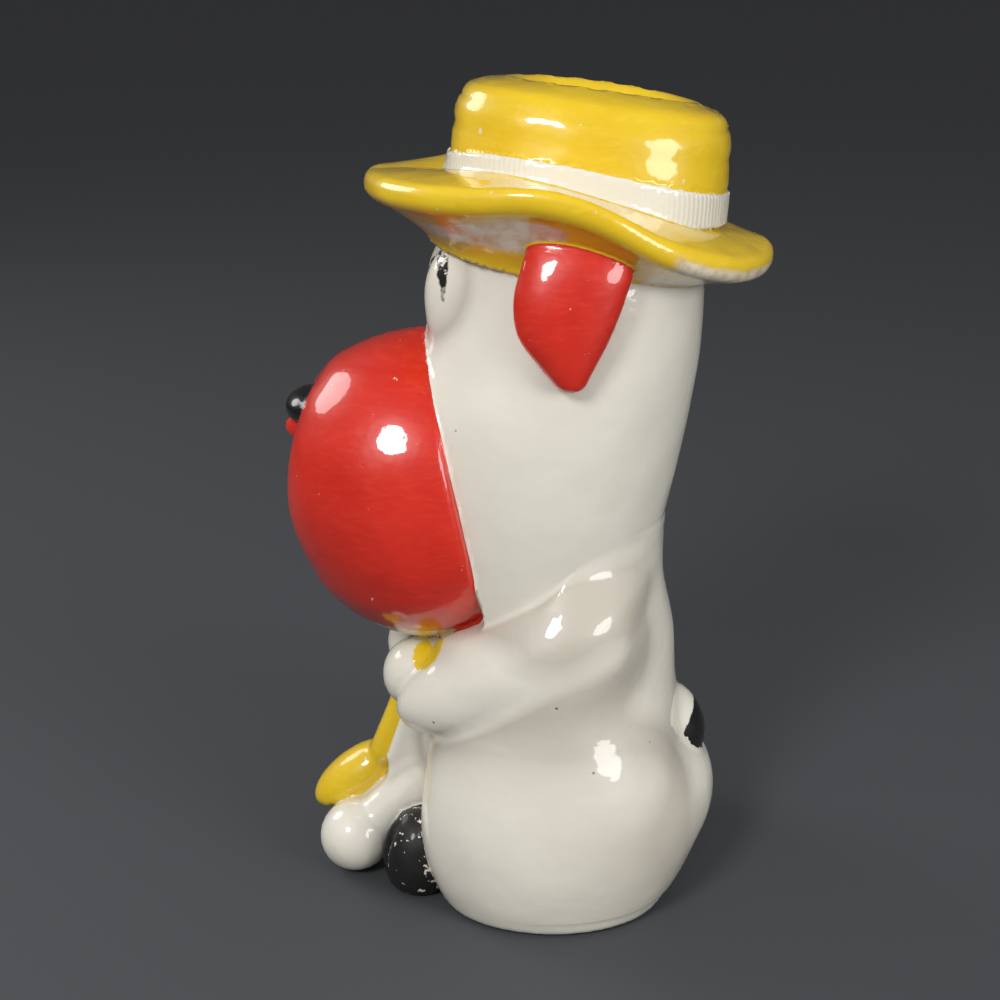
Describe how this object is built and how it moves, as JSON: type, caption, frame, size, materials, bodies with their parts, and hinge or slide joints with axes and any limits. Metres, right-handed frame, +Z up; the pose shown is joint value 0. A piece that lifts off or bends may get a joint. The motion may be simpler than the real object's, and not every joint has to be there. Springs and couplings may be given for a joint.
{
  "type": "chalkware dog figure",
  "caption": "Seated novelty dog in a brimmed hat holding a golf club, cast hollow in plaster and painted.",
  "frame": {"origin": "centre of the figure's bounding box, on the flat base that it stands on", "axes": "+Z up, -Y the way the dog faces, +X the dog's left side, which the picture shows"},
  "size_m": [0.124, 0.1622, 0.2817],
  "materials": {
    "chalk_white": "hollow plaster casting sealed with white enamel under clear gloss lacquer",
    "hat_yellow": "brushed yellow enamel over the sealed plaster, clear gloss lacquer",
    "muzzle_red": "brushed deep red enamel over the sealed plaster, clear gloss lacquer",
    "nose_black": "gloss black enamel over the sealed plaster",
    "paw_black": "flat black enamel, chipped at its edges to the chalk"
  },
  "bodies": {
    "root": {"body_shell": "chalk_white", "head_shell": "chalk_white", "muzzle": "muzzle_red", "lip": "muzzle_red", "nose": "nose_black", "eye_left": "chalk_white", "eye_right": "chalk_white", "ear_left": "muzzle_red", "ear_right": "muzzle_red", "hat_brim": "hat_yellow", "hat_band": "chalk_white", "hat_crown": "hat_yellow", "arm_left": "chalk_white", "arm_right": "chalk_white", "hand_left": "chalk_white", "hand_right": "chalk_white", "club_grip": "hat_yellow", "club_shaft": "hat_yellow", "club_head": "hat_yellow", "club_web": "chalk_white", "ball": "chalk_white", "ball_bridge": "chalk_white", "paw_left": "paw_black", "paw_right": "paw_black", "tail": "chalk_white", "haunch_left": "chalk_white", "haunch_right": "chalk_white"}
  },
  "joints": []
}
